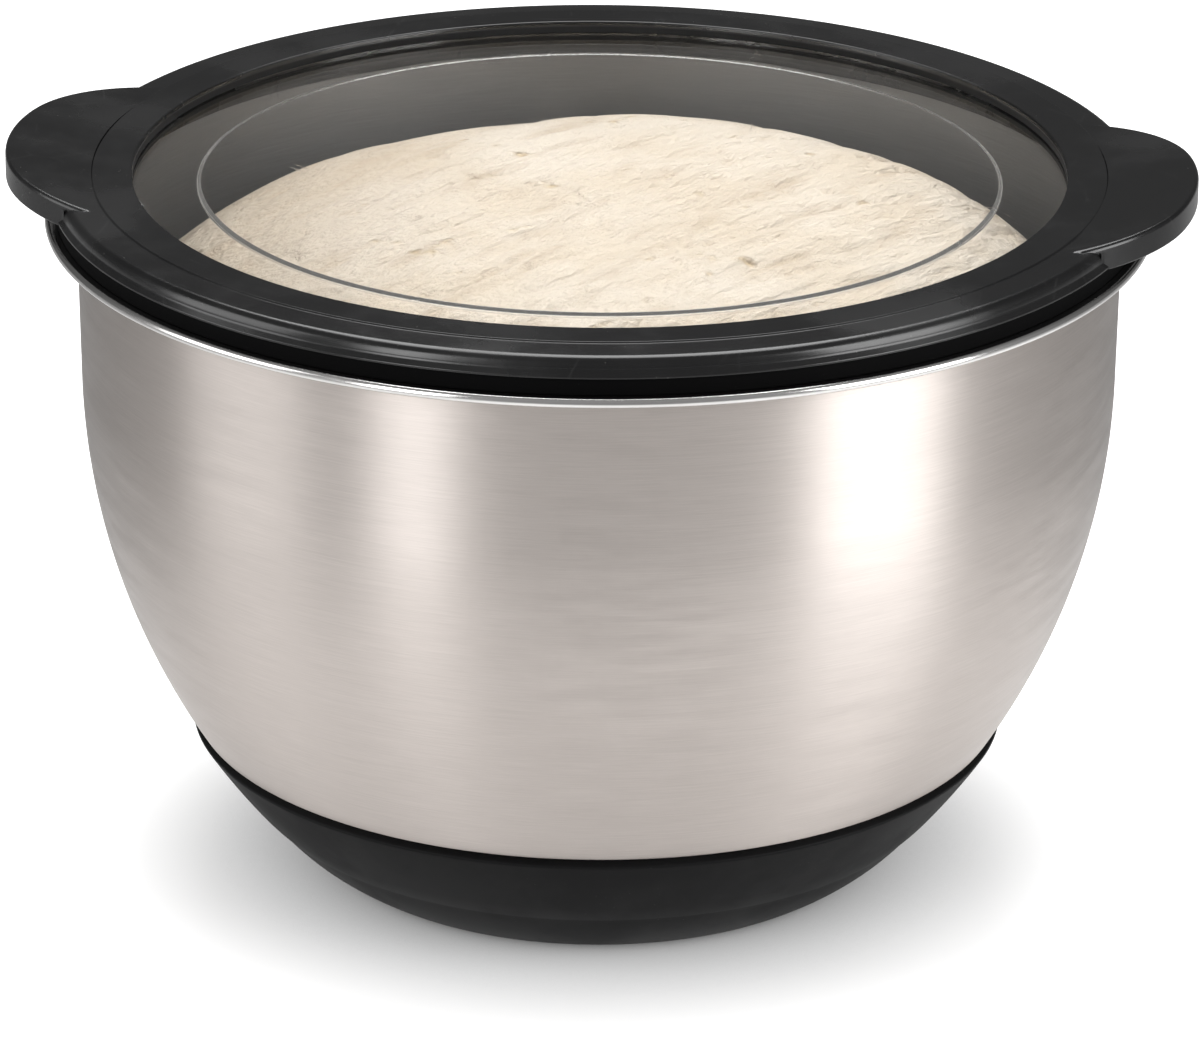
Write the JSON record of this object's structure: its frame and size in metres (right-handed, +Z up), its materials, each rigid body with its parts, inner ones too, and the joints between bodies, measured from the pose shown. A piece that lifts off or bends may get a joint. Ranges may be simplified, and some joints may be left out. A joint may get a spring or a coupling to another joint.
{
  "type": "dough proofing bowl with lid",
  "caption": "Round steel proofing bowl on a soft non-slip foot, with a press-on ring lid that has a clear window, a seal and finger tabs.",
  "frame": {"origin": "on the standing surface, at the bowl's axis", "axes": "+Z up along the bowl's axis, +X through the two finger tabs"},
  "size_m": [0.2808, 0.2608, 0.1739],
  "materials": {
    "brushed_steel": "satin steel, brushed round the bowl, polished rim",
    "foot_silicone": "matt black silicone",
    "lid_plastic": "satin black moulded plastic",
    "clear_pane": "clear moulded plastic",
    "seal_silicone": "black silicone"
  },
  "bodies": {
    "bowl": {"bowl_shell": "brushed_steel", "base_boot": "foot_silicone"},
    "lid": {"lid_frame": "lid_plastic", "lid_window": "clear_pane", "lid_seal": "seal_silicone"}
  },
  "joints": [
    {"name": "lid_lift", "type": "slide", "parent": "bowl", "child": "lid", "axis": [0, 0, 1], "range_m": [0, 0.15]}
  ]
}
